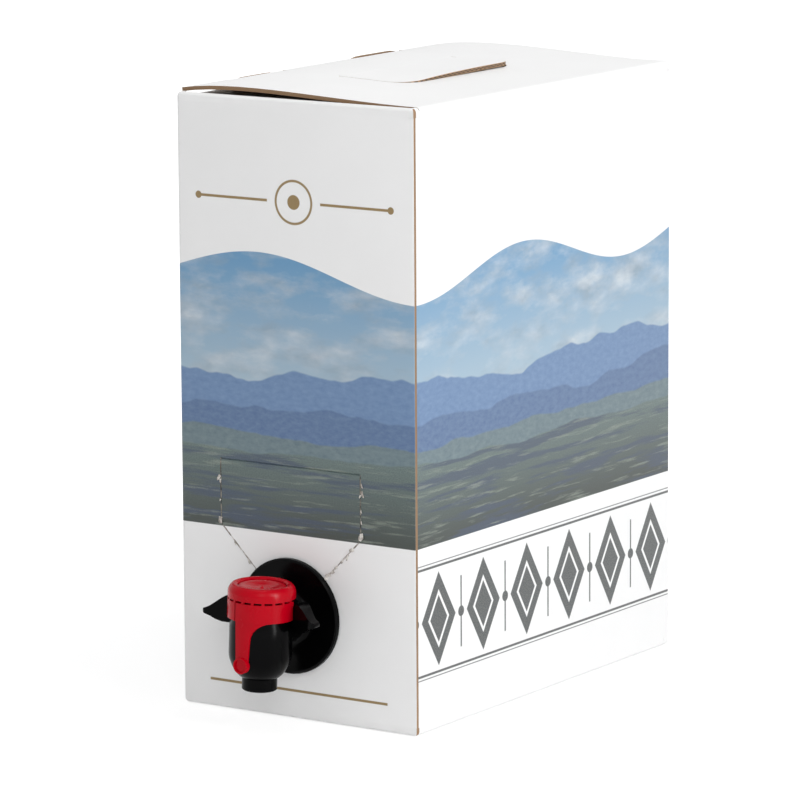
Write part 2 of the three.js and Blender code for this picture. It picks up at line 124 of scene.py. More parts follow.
room = bpy.data.worlds.new("studio")
room.use_nodes = True
bpy.context.scene.world = room
room_tree = room.node_tree
lit_room = room_tree.nodes["Background"]
lit_room.inputs["Color"].default_value = pure_white
lit_room.inputs["Strength"].default_value = room_light
seen_room = place(room_tree, "ShaderNodeBackground", {"Color": pure_white, "Strength": 1.0})
whole_room = place(room_tree, "ShaderNodeMixShader",
                   {0: looked_at(room_tree), 1: lit_room.outputs[0], 2: seen_room.outputs[0]})
room_tree.links.new(whole_room.outputs[0], room_tree.nodes["World Output"].inputs["Surface"])

lamp("key", (1.6, -0.3, 0.9), box_middle, size=(0.9, 0.9), power=13.4)
lamp("fill", (0.9, -1.3, 1.0), box_middle, size=(0.5, 0.9), power=4.3)
lamp("top", (0.0, 0.1, 1.7), box_foot, size=(1.0, 1.0), power=6.0)

# A tall strip close by on the right gives the tap's dark plastic its soft upright gleam.
strip = lamp("strip", (0.30, -0.15, 0.10), tap_middle, size=(0.05, 0.26), power=0.6)
strip.visible_camera = False
strip.visible_diffuse = False


# The floor is a wide sheet of white paper that the box stands on. The camera sees it
# white from a painted glow, and a little greyer near the box, where its shadow lies and
# the painted glow is weaker.
floor_half = 3.0
floor_drop = 0.2 * MM
shade_start, shade_end = 0.16, 0.45
glow_near, glow_far = 0.72, 1.05


def new_material(name, roughness, colour=None):
    made = bpy.data.materials.new(name)
    made.use_nodes = True
    shader = made.node_tree.nodes["Principled BSDF"]
    shader.inputs["Roughness"].default_value = roughness
    if colour:
        shader.inputs["Base Color"].default_value = colour
    return made, made.node_tree, shader


def object_spot(tree):
    """The place on the object that is being shaded, in metres."""
    return place(tree, "ShaderNodeTexCoord").outputs["Object"]


floor_shape = bmesh.new()
bmesh.ops.create_grid(floor_shape, x_segments=1, y_segments=1, size=floor_half)
bmesh.ops.translate(floor_shape, verts=floor_shape.verts, vec=(0.0, 0.0, -floor_drop))
floor_mesh = bpy.data.meshes.new("floor")
floor_shape.to_mesh(floor_mesh)
floor_shape.free()
floor = bpy.data.objects.new("floor", floor_mesh)
bpy.context.scene.collection.objects.link(floor)
sweep, sweep_tree, sweep_shader = new_material("white_sweep", 0.9, (0.93, 0.93, 0.93, 1.0))
# The painted glow is weakest near the box and grows outwards, so the paper stays white far off
# where the lamps light it less.
away = place(sweep_tree, "ShaderNodeVectorMath", {0: object_spot(sweep_tree)}, operation="LENGTH")
painted_glow_strength = place(sweep_tree, "ShaderNodeMapRange",
                   {"Value": away.outputs["Value"], 1: shade_start, 2: shade_end,
                    3: glow_near, 4: glow_far})
glow = place(sweep_tree, "ShaderNodeEmission",
             {"Color": pure_white, "Strength": painted_glow_strength.outputs[0]})
shaded = place(sweep_tree, "ShaderNodeBsdfDiffuse", {"Color": (0.42, 0.42, 0.42, 1.0)})
seen_sweep = place(sweep_tree, "ShaderNodeAddShader", {0: shaded.outputs[0], 1: glow.outputs[0]})
whole_sweep = place(sweep_tree, "ShaderNodeMixShader",
                    {0: looked_at(sweep_tree), 1: sweep_shader.outputs[0],
                     2: seen_sweep.outputs[0]})
sweep_tree.links.new(whole_sweep.outputs[0],
                     sweep_tree.nodes["Material Output"].inputs["Surface"])
floor_mesh.materials.append(sweep)


# The carton is one folded blank of thin corrugated board, white clay-coated outside and
# brown inside, glued down one corner and across the base. Its sizes are read from the
# frame, and its print wraps round the walls on a map of its own.
box_high = Vector(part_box("carton_body")[1])
half_width = box_high.x
half_depth = box_high.y
box_height = box_high.z
board = 1.6 * MM
flute_pitch = 3.3 * MM
fold_zone = 6.0 * MM
board_skin = 0.7 * MM
raw_skin = 0.5 * MM

# How far a face's normal leans to a side that the face belongs to.
facing = 0.5
squarely_facing = 0.9


def node_copy(name, node, flat=math.radians(0.3)):
    """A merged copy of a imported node, its flat triangles joined."""
    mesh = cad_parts[node].data.copy()
    mesh.materials.clear()
    made = bpy.data.objects.new(name, mesh)
    bpy.context.scene.collection.objects.link(made)
    shape = bmesh.new()
    shape.from_mesh(mesh)
    bmesh.ops.remove_doubles(shape, verts=shape.verts, dist=0.002 * MM)
    bmesh.ops.dissolve_limit(shape, angle_limit=flat, verts=shape.verts, edges=shape.edges)
    return made, shape


def cut(shape, at, normal):
    """Cuts every face that a plane crosses, and takes nothing away."""
    everything = shape.verts[:] + shape.edges[:] + shape.faces[:]
    bmesh.ops.bisect_plane(shape, geom=everything, plane_co=at, plane_no=normal)


def soften(shape, crease):
    """Shades the round faces smooth and keeps the creases sharp."""
    for face in shape.faces:
        face.smooth = True
    for edge in shape.edges:
        edge.smooth = edge.is_manifold and edge.calc_face_angle(0.0) < crease


def finish_copy(made, shape, node, body, crease=math.radians(28)):
    """Writes a copy's shape, and hands it to the frame in its node's place."""
    soften(shape, crease)
    shape.to_mesh(made.data)
    shape.free()
    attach(made, body)
    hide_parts(node)


def tint(red, green, blue):
    """A colour as a paint chart gives it, 0 to 255, made linear."""
    def linear(value):
        part = value / 255
        return part / 12.92 if part <= 0.04045 else ((part + 0.055) / 1.055) ** 2.4
    return (linear(red), linear(green), linear(blue), 1.0)


def blend_colours(tree, factor, low, high):
    made = place(tree, "ShaderNodeMix", {0: factor, 6: low, 7: high}, data_type="RGBA")
    return made.outputs[2]


def cloudiness(tree, spot, scale, detail, roughness=0.5, distortion=0.0):
    """Soft random patches, about 0.5 in the middle."""
    return place(tree, "ShaderNodeTexNoise",
                 {"Vector": spot, "Scale": scale, "Detail": detail, "Roughness": roughness,
                  "Distortion": distortion}).outputs[0]


def soft_step(tree, value, low, high):
    """0 at and before the first value, 1 at and past the second, straight between them."""
    return place(tree, "ShaderNodeMapRange", {"Value": value, 1: low, 2: high}).outputs[0]


def between(tree, value, low, high, soft=0.15 * MM):
    """1 between two values, with soft ends."""
    return calc(tree, "MULTIPLY", soft_step(tree, value, low - soft, low + soft),
                soft_step(tree, value, high + soft, high - soft))


def distance(tree, x, y):
    squares = calc(tree, "ADD", calc(tree, "MULTIPLY", x, x), calc(tree, "MULTIPLY", y, y))
    return calc(tree, "SQRT", squares)


def off(tree, value, line):
    """How far a value is from a line, on either side."""
    return calc(tree, "ABSOLUTE", calc(tree, "SUBTRACT", value, line))


def new_group(name, inputs, outputs):
    """An empty node group with its sockets, and its first and last nodes."""
    group = bpy.data.node_groups.new(name, "ShaderNodeTree")
    for label, value in inputs:
        socket = group.interface.new_socket(label, in_out="INPUT", socket_type="NodeSocketFloat")
        socket.default_value = value
    for label, kind in outputs:
        group.interface.new_socket(label, in_out="OUTPUT", socket_type=kind)
    return group, place(group, "NodeGroupInput").outputs, place(group, "NodeGroupOutput").inputs


def paper_group():
    """Paper: fine fibre and the board's soft waves as a normal, and a tone that varies."""
    group, given, result = new_group(
        "paper_surface", (("Fibre", 0.1), ("Waviness", 0.1)),
        (("Normal", "NodeSocketVector"), ("Tone", "NodeSocketFloat")))
    wave_height = 12.0
    spot = object_spot(group)
    waves = cloudiness(group, spot, 26.0, 2.0)
    fine = calc(group, "MULTIPLY", cloudiness(group, spot, 1800.0, 3.0), given["Fibre"])
    broad = calc(group, "MULTIPLY", waves, given["Waviness"])
    height = calc(group, "ADD", fine, calc(group, "MULTIPLY", broad, wave_height))
    bump = place(group, "ShaderNodeBump",
                 {"Height": height, "Strength": 0.35, "Distance": 0.2 * MM})
    group.links.new(bump.outputs[0], result["Normal"])
    group.links.new(waves, result["Tone"])
    return group


paper_surface = paper_group()


def add_paper(tree, shader, fibre, waviness):
    """Gives a finish the paper's surface, and returns its tone."""
    made = place(tree, "ShaderNodeGroup", {"Fibre": fibre, "Waviness": waviness},
                 node_tree=paper_surface)
    tree.links.new(made.outputs["Normal"], shader.inputs["Normal"])
    return made.outputs["Tone"]


def ridge_group():
    """A soft-edged line of hills on the wrap map: 1 below the line and 0 above it."""
    group, given, result = new_group(
        "hill_line", (("Along", 0.0), ("Level", 0.0), ("Base", 0.1), ("Swing", 0.01),
                      ("Scale", 10.0), ("Seed", 0.0)), (("Below", "NodeSocketFloat"),))
    soft = 0.4 * MM
    run = calc(group, "MULTIPLY", given["Along"], given["Scale"])
    ridge = place(group, "ShaderNodeTexNoise",
                  {"W": calc(group, "ADD", run, given["Seed"]), "Scale": 1.0, "Detail": 4.0,
                   "Roughness": 0.45}, noise_dimensions="1D").outputs[0]
    centred = calc(group, "MULTIPLY", calc(group, "SUBTRACT", ridge, 0.5), 2.0)
    line = calc(group, "ADD", given["Base"], calc(group, "MULTIPLY", centred, given["Swing"]))
    drop = calc(group, "SUBTRACT", line, given["Level"])
    group.links.new(soft_step(group, drop, -soft, soft), result["Below"])
    return group


hill_line = ridge_group()


def below_hill(tree, along, level, base, swing, scale, seed):
    """Where the print is below a line of hills, whose base and swing are in millimetres."""
    return place(tree, "ShaderNodeGroup",
                 {"Along": along, "Level": level, "Base": base * MM, "Swing": swing * MM,
                  "Scale": scale, "Seed": seed}, node_tree=hill_line).outputs["Below"]


def wrap_spot(tree):
    """How far along the wrap map and how high up it the place is."""
    wrap = place(tree, "ShaderNodeUVMap", uv_map="wrap").outputs[0]
    split = place(tree, "ShaderNodeSeparateXYZ", {0: wrap}).outputs
    return split[0], split[1]


def stretched(tree, along, level, across, up):
    """The place on the wrap map, stretched by a factor each way."""
    return place(tree, "ShaderNodeCombineXYZ",
                 {0: calc(tree, "MULTIPLY", along, across),
                  1: calc(tree, "MULTIPLY", level, up)}).outputs[0]


def streaks(tree, along, level, across, up, detail, low, high):
    """Streaks of ink, where the first two factors say how fine they are each way."""
    pattern = cloudiness(tree, stretched(tree, along, level, across, up), 1.0, detail, 0.6)
    return soft_step(tree, pattern, low, high)


def lay_over(tree, mask, share, under, over):
    """A colour laid over another through a mask, at a share of its full strength."""
    return blend_colours(tree, calc(tree, "MULTIPLY", mask, share), under, over)


def cloudy_sky(tree, along, level):
    """A sky that deepens from its haze upwards, with grey and white clouds."""
    haze_top, blue_from = 130 * MM, 188 * MM
    flatness = 2.2
    sky = blend_colours(tree, soft_step(tree, level, haze_top, blue_from),
                        tint(172, 192, 204), tint(104, 152, 190))
    drift = stretched(tree, along, level, 1.0, flatness)
    cover = soft_step(tree, cloudiness(tree, drift, 26.0, 8.0, 0.58), 0.44, 0.66)
    body = soft_step(tree, cloudiness(tree, drift, 60.0, 6.0), 0.35, 0.65)
    cloud = blend_colours(tree, body, tint(146, 162, 176), tint(206, 213, 218))
    return lay_over(tree, cover, 0.85, sky, cloud)


# Hills, far to near: middle height and swing in millimetres, swings to the metre and
# where they start, and the dark and light colours of the grain.
hill_rows = (
    (143, 14, 13, 3.1, (98, 128, 168), (116, 144, 180)),
    (128, 8, 17, 8.4, (80, 106, 146), (100, 126, 160)),
    (117, 4, 20, 15.2, (92, 112, 122), (116, 134, 138)))


def hills(tree, along, level, sky):
    """The rows of soft hills before the sky."""
    grain = streaks(tree, along, level, 300.0, 500.0, 6.0, 0.3, 0.7)
    colour = sky
    for base, swing, scale, seed, dark, light in hill_rows:
        mask = below_hill(tree, along, level, base, swing, scale, seed)
        row = blend_colours(tree, grain, tint(*dark), tint(*light))
        colour = blend_colours(tree, mask, colour, row)
    return colour


def fields(tree, along, level, speck):
    """Fields in long streaks, which darken towards the foot of the picture."""
    dark_level, pale_level = 79 * MM, 112 * MM
    ground = blend_colours(tree, soft_step(tree, level, dark_level, pale_level),
                           tint(62, 70, 66), tint(108, 126, 124))
    shade = streaks(tree, along, level, 14.0, 190.0, 4.0, 0.50, 0.58)
    ground = lay_over(tree, shade, 0.75, ground, tint(66, 80, 104))
    bloom = streaks(tree, along, level, 36.0, 420.0, 5.0, 0.55, 0.66)
    ground = lay_over(tree, bloom, 0.55, ground, tint(150, 160, 148))
    return lay_over(tree, speck, 0.35, ground, tint(44, 48, 46))


def picture_band(tree, along, level):
    """Where the picture is printed: under a wave, and above a straight foot."""
    wave_length = 158 * MM
    wave_swing = 8 * MM
    wave_level = 184 * MM
    foot_start, foot_full = 76.8 * MM, 77 * MM
    soft = 0.1 * MM
    wave = calc(tree, "SINE", calc(tree, "MULTIPLY", along, 2 * math.pi / wave_length))
    top = calc(tree, "ADD", calc(tree, "MULTIPLY", wave, wave_swing), wave_level)
    under = soft_step(tree, calc(tree, "SUBTRACT", top, level), -soft, soft)
    return calc(tree, "MULTIPLY", under, soft_step(tree, level, foot_start, foot_full))


def lozenge_border(tree, along, level):
    """A row of lined lozenges, with beaded stems between them and rules on either side."""
    pitch = 33.4 * MM
    copies_to_the_left = 10
    start = 2 * half_width - copies_to_the_left * pitch
    row_level = 46 * MM
    lozenge_half, lozenge_rise = 12.5 * MM, 19.5 * MM
    line_start, line_end = 0.50, 0.62
    soft = 0.01
    thick_rule = (21.4 * MM, 22.4 * MM)
    thin_rule = (23.3 * MM, 23.7 * MM)
    bead_edge = (2.3 * MM, 2.1 * MM)
    stem_edge = (0.55 * MM, 0.4 * MM)
    stem_tip = (15.0 * MM, 14.7 * MM)
    run = calc(tree, "DIVIDE", calc(tree, "SUBTRACT", along, start), pitch)
    across = calc(tree, "MULTIPLY", off(tree, calc(tree, "FRACT", run), 0.5), pitch)
    rise = off(tree, level, row_level)
    reach = calc(tree, "ADD", calc(tree, "DIVIDE", across, lozenge_half),
                 calc(tree, "DIVIDE", rise, lozenge_rise))
    lozenge = calc(tree, "SUBTRACT", soft_step(tree, reach, 1 + soft, 1 - soft),
                   between(tree, reach, line_start, line_end, soft))
    rules = calc(tree, "ADD", between(tree, rise, *thick_rule), between(tree, rise, *thin_rule))
    from_stem = calc(tree, "SUBTRACT", 0.5 * pitch, across)
    bead = soft_step(tree, distance(tree, from_stem, rise), *bead_edge)
    stem = calc(tree, "MULTIPLY", soft_step(tree, from_stem, *stem_edge),
                soft_step(tree, rise, *stem_tip))
    lines = calc(tree, "ADD", rules, calc(tree, "MAXIMUM", bead, stem))
    return calc(tree, "MINIMUM", 1.0, calc(tree, "ADD", lozenge, lines))


def beside_the_front(tree, along):
    """1 on the sides and the back, from just past the front panel's two edges."""
    margin, soft = 1.2 * MM, 0.2 * MM
    right_edge = 2 * half_width + margin
    return calc(tree, "MAXIMUM", soft_step(tree, along, right_edge, right_edge + soft),
                soft_step(tree, along, -margin, -margin - soft))


def gold_ornament(tree, along, level):
    """A ring and bead between two tipped rules at the head of the front, and a foot rule."""
    head_level, foot_level = 213.5 * MM, 11.8 * MM
    ring_start, ring_end = 8.2 * MM, 9.2 * MM
    bead_edge = (3.1 * MM, 2.9 * MM)
    arm_start, arm_end = 13.0 * MM, 47.0 * MM
    tip_edge = (1.6 * MM, 1.4 * MM)
    foot_rule_half = 44.0 * MM
    rule_edge = (0.65 * MM, 0.45 * MM)
    soft = 0.15 * MM
    from_middle = calc(tree, "SUBTRACT", along, half_width)
    aside = calc(tree, "ABSOLUTE", from_middle)
    head = off(tree, level, head_level)
    radius = distance(tree, from_middle, head)
    ring = between(tree, radius, ring_start, ring_end)
    bead = soft_step(tree, radius, *bead_edge)
    arms = calc(tree, "MULTIPLY", between(tree, aside, arm_start, arm_end),
                soft_step(tree, head, *rule_edge))
    from_tip = distance(tree, calc(tree, "SUBTRACT", aside, arm_end), head)
    tips = soft_step(tree, from_tip, *tip_edge)
    foot_rule = calc(tree, "MULTIPLY",
                     soft_step(tree, aside, foot_rule_half + soft, foot_rule_half - soft),
                     soft_step(tree, off(tree, level, foot_level), *rule_edge))
    gold = calc(tree, "MAXIMUM", ring, bead)
    for mark in (arms, tips, foot_rule):
        gold = calc(tree, "MAXIMUM", gold, mark)
    return gold


def printed_board():
    """The coated white face, with a band of soft hills, a border and a gold ornament."""
    made, tree, shader = new_material("printed_board", 0.42)
    along, level = wrap_spot(tree)
    speck = streaks(tree, along, level, 1500.0, 1900.0, 3.0, 0.35, 0.65)
    plain = below_hill(tree, along, level, 110, 3, 24, 21.7)
    picture = blend_colours(tree, plain, hills(tree, along, level, cloudy_sky(tree, along, level)),
                            fields(tree, along, level, speck))
    tone = add_paper(tree, shader, 0.12, 0.10)
    white = blend_colours(tree, tone, tint(243, 243, 243), tint(249, 249, 249))
    colour = blend_colours(tree, picture_band(tree, along, level), white, picture)
    border = calc(tree, "MULTIPLY", lozenge_border(tree, along, level),
                  beside_the_front(tree, along))
    grey_ink = blend_colours(tree, speck, tint(66, 69, 70), tint(104, 107, 106))
    colour = blend_colours(tree, border, colour, grey_ink)
    colour = blend_colours(tree, gold_ornament(tree, along, level), colour, tint(146, 122, 80))
    tree.links.new(colour, shader.inputs["Base Color"])
    return made


def kraft_board():
    """The brown inside of the board and its torn or cut edges."""
    made, tree, shader = new_material("kraft_board", 0.85)
    tone = add_paper(tree, shader, 0.6, 0.2)
    brown = blend_colours(tree, tone, tint(118, 92, 68), tint(168, 136, 104))
    tree.links.new(brown, shader.inputs["Base Color"])
    return made


def fluted_edge():
    """A cut across the flutes: two liners with the fluting waved between them, and painted shade in
    the hollows.
    """
    made, tree, shader = new_material("fluted_edge", 0.85)
    flute_swing = 0.30
    along, depth = wrap_spot(tree)
    wave = calc(tree, "SINE", calc(tree, "MULTIPLY", along, 2 * math.pi / flute_pitch))
    middle = calc(tree, "SUBTRACT", depth, 0.5)
    from_flute = calc(tree, "ABSOLUTE", calc(tree, "SUBTRACT", middle,
                                             calc(tree, "MULTIPLY", wave, flute_swing)))
    fluting = soft_step(tree, from_flute, 0.19, 0.12)
    liners = soft_step(tree, calc(tree, "ABSOLUTE", middle), 0.34, 0.40)
    solid = calc(tree, "MAXIMUM", fluting, liners)
    tone = add_paper(tree, shader, 0.6, 0.2)
    brown = blend_colours(tree, tone, tint(170, 136, 104), tint(206, 174, 138))
    # The hollows between the fluting and the liners are painted near-black as shade.
    tree.links.new(blend_colours(tree, solid, tint(40, 26, 18), brown),
                   shader.inputs["Base Color"])
    return made


board_finishes = [printed_board(), kraft_board(), fluted_edge()]
OUTSIDE, INSIDE, FLUTED = range(3)


def board_side(middle, normal):
    """Which side of the folded blank a face of the carton shows."""
    for half, at, outward in ((half_width, middle.x, normal.x), (half_depth, middle.y, normal.y)):
        if outward * math.copysign(1.0, at) > facing and half - abs(at) < board_skin:
            return OUTSIDE
    outward = normal.z if middle.z > box_height / 2 else -normal.z
    depth = min(middle.z, box_height - middle.z)
    return OUTSIDE if outward > facing and depth < fold_zone else INSIDE


def carton_finish(middle, normal):
    """The front panel's raw edge shows brown down the glued corner."""
    on_front_panel = middle.y < -half_depth + board
    on_right_wall = middle.x > half_width - raw_skin and normal.x > squarely_facing
    return INSIDE if on_front_panel and on_right_wall else board_side(middle, normal)


def round_the_walls(at, normal, middle):
    """Distance round the carton from its front left corner, and height."""
    if abs(normal.x) > abs(normal.y):
        if normal.x > 0:
            return (2 * half_width + at.y + half_depth, at.z)
        return (-(at.y + half_depth), at.z)
    if normal.y < 0:
        return (at.x + half_width, at.z)
    return (2 * half_width + 2 * half_depth + half_width - at.x, at.z)


def wrap_map(shape, finish_of, map_of):
    """Gives each face its finish and its place on the wrap map."""
    layer = shape.loops.layers.uv.new("wrap")
    shape.normal_update()
    for face in shape.faces:
        middle = face.calc_center_median()
        face.material_index = finish_of(middle, face.normal)
        for loop in face.loops:
            loop[layer].uv = map_of(loop.vert.co, face.normal, middle)


carton, carton_shape = node_copy("carton_board", "carton_body")
cut(carton_shape, (0.0, -half_depth + board, 0.0), (0.0, 1.0, 0.0))
wrap_map(carton_shape, carton_finish, round_the_walls)
for finish in board_finishes:
    carton.data.materials.append(finish)
finish_copy(carton, carton_shape, "carton_body", "box")


# The carton's corners are its own board, folded over at the top and the base where two
# creases meet. The front right ones show the front panel's raw edge, the others are round.
corner_radius = 2.0 * MM
crest_radius = 1.9 * MM
corner_step, crest_step = 15, 16
base_gap, top_gap = 3.5 * MM, 3.8 * MM
seam_overlap = 0.05 * MM
lid_end = half_depth - 4.37 * MM
flap_end = half_depth - 4.92 * MM
glued_corner = (1, -1)


def loft(shape, sections):
    """A closed solid, drawn out of its first section through all the others."""
    end = shape.faces.new([shape.verts.new(point) for point in sections[0]])
    for section in sections[1:]:
        drawn = bmesh.ops.extrude_face_region(shape, geom=[end, *end.edges])["geom"]
        end = next(item for item in drawn if isinstance(item, bmesh.types.BMFace))
        for vert, point in zip(end.verts, section):
            vert.co = point


def new_piece(name, shape, crease, body, slot, *materials):
    """A piece of its own from its finished shape."""
    soften(shape, crease)
    mesh = bpy.data.meshes.new(name)
    shape.to_mesh(mesh)
    shape.free()
    made = bpy.data.objects.new(name, mesh)
    bpy.context.scene.collection.objects.link(made)
    for material in materials:
        mesh.materials.append(material)
    if body:
        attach(made, body)
    return made


def arc(step):
    """Cosines and sines round a quarter turn, with a step in degrees between them."""
    turns = [math.radians(angle) for angle in range(0, 91, step)]
    return [(math.cos(turn), math.sin(turn)) for turn in turns]


def corner_section(toward_x, toward_y, level, reach, run_end):
    """A section of a corner: along the side face to the corner, round it, and back inside."""
    inner_x = half_width - corner_radius
    inner_y = half_depth - corner_radius
    radius = corner_radius * reach
    square = [(1.0, 0.0), (1.0, 1.0), (0.0, 1.0)]
    turn = square if (toward_x, toward_y) == glued_corner else arc(corner_step)
    plan = [(inner_x, run_end), (inner_x + radius, run_end)]
    plan += [(inner_x + radius * x, inner_y + radius * y) for x, y in turn]
    return [(toward_x * x, toward_y * y, level) for x, y in plan]


def add_corner(shape, toward_x, toward_y, top):
    """One closed corner, from inside the sleeve's end to the crest of its folds."""
    rise, end, gap = (1, box_height, top_gap) if top else (-1, 0.0, base_gap)
    run_end = lid_end if top and toward_x > 0 else flap_end
    stations = [(end - rise * (gap + seam_overlap), 1.0)]
    stations += [(end - rise * crest_radius * (1 - up), reach) for reach, up in arc(crest_step)]
    loft(shape, [corner_section(toward_x, toward_y, level, reach, run_end)
                 for level, reach in stations])


def corner_finish(middle, normal):
    on_front_panel = middle.y < -half_depth + board
    on_right_wall = middle.x > half_width - corner_radius and normal.x > facing
    return INSIDE if on_front_panel and on_right_wall else OUTSIDE


corners_shape = bmesh.new()
for toward_x in (-1, 1):
    for toward_y in (-1, 1):
        for top in (False, True):
            add_corner(corners_shape, toward_x, toward_y, top)
bmesh.ops.recalc_face_normals(corners_shape, faces=corners_shape.faces)
wrap_map(corners_shape, corner_finish, round_the_walls)
new_piece("corner_folds", corners_shape, math.radians(50), "box", "board", *board_finishes)


# Where the lid's two tabs are locked in behind the left wall, its board stands up in a
# low lip. Each lip is part of the blank, as thick as the wall, with rounded ends.
lip_foot = box_height - 3.0 * MM
lip_tuck = 0.6 * MM
lip_outer = -half_width
lip_inner = -half_width + board
lip_steps = 12
lip_squareness = 8


def lip_finish(middle, normal):
    return OUTSIDE if normal.x < -facing else INSIDE


lips_shape = bmesh.new()
for lip_middle, lip_half, crown in ((44 * MM, 20 * MM, 2.4 * MM), (-44 * MM, 16 * MM, 1.9 * MM)):
    sections = []
    for step in range(lip_steps + 1):
        away = 2 * step / lip_steps - 1
        y = lip_middle + away * lip_half
        tip = box_height + crown * (1 - away ** lip_squareness) - lip_tuck
        sections.append([(lip_outer, y, lip_foot), (lip_inner, y, lip_foot),
                         (lip_inner, y, tip), (lip_outer, y, tip)])
    loft(lips_shape, sections)
bmesh.ops.recalc_face_normals(lips_shape, faces=lips_shape.faces)
wrap_map(lips_shape, lip_finish, round_the_walls)
new_piece("slot_lips", lips_shape, math.radians(35), "box", "board", *board_finishes)


# The panel round the tap was torn along its perforations and pressed back, so its lines
# are filled with a ragged ridge of the board's own paper. The ridge is painted grey as
# painted shade in the torn cracks, darker where the print is dark, with paler torn fibre.
tap_spot = Vector((-3.0 * MM, -half_depth, 43.2 * MM))
tear_half = 34.5 * MM
tear_top = 105.0 * MM
tear_bend = 78.0 * MM
tear_end = Vector((12.94 * MM, 0.0, 56.14 * MM))
tear_steps = 26
tear_root = 0.3 * MM
print_foot, print_full = 76.5 * MM, 77.5 * MM

# How far the ridge strays, half its width at the foot and its height, in millimetres.
# Every third place is low.
stray_range = (-0.06, 0.06)
foot_range = (0.30, 0.42)
proud_range = (0.02, 0.12)
crest_share = 0.5


def fibre_shade_and_light(tree, scale, detail, low, high):
    """Random patches of torn fibre with painted shade and light, from 0 in the painted shade to 1
    in the painted light.
    """
    return soft_step(tree, cloudiness(tree, object_spot(tree), scale, detail), low, high)


def one_finish(middle, normal):
    """The material index of a piece that has a single finish."""
    return 0


torn_line_and_shade, line_tree, line_shader = new_material("torn_line_and_shade", 0.9)
add_paper(line_tree, line_shader, 0.8, 0.3)
line_fibre_and_shade = fibre_shade_and_light(line_tree, 350.0, 4.0, 0.42, 0.60)
line_height = place(line_tree, "ShaderNodeSeparateXYZ", {0: object_spot(line_tree)}).outputs[2]
# Painted shade of the torn cracks: dark grey in the print and mid grey in the white, going paler
# where the fibre patches are light.
shade_in_print = blend_colours(line_tree, line_fibre_and_shade, tint(52, 56, 56), tint(150, 146, 136))
shade_in_white = blend_colours(line_tree, line_fibre_and_shade, tint(128, 120, 114), tint(214, 210, 206))
line_shade_colour = blend_colours(line_tree, soft_step(line_tree, line_height, print_foot, print_full),
                            shade_in_white, shade_in_print)
line_tree.links.new(line_shade_colour, line_shader.inputs["Base Color"])

chance = random.Random(7)
tear_shape = bmesh.new()
for side in (-1, 1):
    corners = [Vector((tap_spot.x + side * tear_half, -half_depth, tear_top)),
               Vector((tap_spot.x + side * tear_half, -half_depth, tear_bend)),
               Vector((tap_spot.x + side * tear_end.x, -half_depth, tear_end.z))]
    for near, far in zip(corners, corners[1:]):
        length = (far - near).length
        along = (far - near).normalized()
        aside = Vector((along.z, 0.0, -along.x))
        inwards = Vector((0.0, tear_root, 0.0))
        sections = []
        for step in range(tear_steps + 1):
            stray = aside * chance.uniform(*stray_range) * MM
            spot = near + along * length * step / tear_steps + stray
            foot = aside * chance.uniform(*foot_range) * MM
            crest = foot * crest_share
            proud = chance.uniform(*proud_range) if step % 3 else proud_range[0]
            outwards = Vector((0.0, -proud * MM, 0.0))
            sections.append([spot - foot + inwards, spot + foot + inwards,
                             spot + crest + outwards, spot - crest + outwards])
        loft(tear_shape, sections)
bmesh.ops.recalc_face_normals(tear_shape, faces=tear_shape.faces)
wrap_map(tear_shape, one_finish, round_the_walls)
new_piece("torn_edges", tear_shape, math.radians(60), "box", "board", torn_line_and_shade)


# Tufts of pale fibre stand out of the torn lines, where the coated paper let go in
# flakes. Each is a thin flake, curled away from the panel.
flake_thickness = 0.14 * MM
straight_down = Vector((0.0, 0.0, -1.0))

# What differs from flake to flake: its lean in radians, its edges' raggedness as a share,
# and, in millimetres, its root's shift, how far it stands out, its length and its width.
lean_range = (-0.5, 0.5)
ragged_range = (0.75, 1.2)
shift_range = (0.1, 0.5)
stand_range = (0.25, 0.6)
long_range = (1.4, 2.8)
wide_range = (0.8, 1.7)

# How far along a flake, how wide it is there, and how far it stands out.
flake_stations = ((0.0, 1.0, 0.1), (0.35, 0.8, 0.7), (0.7, 0.9, 1.0), (1.0, 0.3, 0.6))

# The line's side, the height of the root, and the flake's length and width, in
# millimetres. The right line's slope has a flake at each of the heights below.
tuft_places = [
    (-1, 98.0, 2.6, 1.3), (-1, 96.4, 1.8, 1.0), (-1, 80.6, 2.8, 1.5), (-1, 79.4, 1.6, 1.2),
    (-1, 88.0, 1.0, 0.5), (1, 101.5, 2.0, 0.6), (1, 98.4, 2.8, 1.2), (1, 96.8, 1.4, 0.9),
    (1, 90.5, 1.2, 0.5), (1, 86.0, 1.4, 0.6), (1, 81.0, 2.4, 1.9), (1, 79.6, 1.8, 2.2),
    (-1, 71.0, 1.8, 0.8), (-1, 64.5, 2.6, 0.8), (-1, 60.0, 2.4, 0.9)]
slope_heights = (74.0, 71.5, 69.0, 66.0, 64.0, 62.5, 61.0, 59.5, 58.3, 57.4, 56.6)
tuft_places += [(1, level, chance.uniform(*long_range), chance.uniform(*wide_range))
                for level in slope_heights]

torn_paper, torn_tree, torn_shader = new_material("torn_paper", 0.9)
add_paper(torn_tree, torn_shader, 0.8, 0.3)
# The flakes are painted in random patches of shade, grey where shaded and near white where lit.
torn_paper_shade_colour = blend_colours(torn_tree, fibre_shade_and_light(torn_tree, 420.0, 3.0, 0.38, 0.62),
                            tint(150, 142, 134), tint(232, 228, 222))
torn_tree.links.new(torn_paper_shade_colour, torn_shader.inputs["Base Color"])


def add_tuft(shape, root, lean, long, wide, proud):
    """A curled flake of torn paper that stands out of its line."""
    across = Vector((lean.z, 0.0, -lean.x)) * wide / 2
    depth = Vector((0.0, flake_thickness / 2, 0.0))
    sections = []
    for part, width, out in flake_stations:
        spot = root + lean * long * part + Vector((0.0, -proud * out, 0.0))
        side = across * width * chance.uniform(*ragged_range)
        sections.append([spot - side + depth, spot + side + depth,
                         spot + side - depth, spot - side - depth])
    loft(shape, sections)


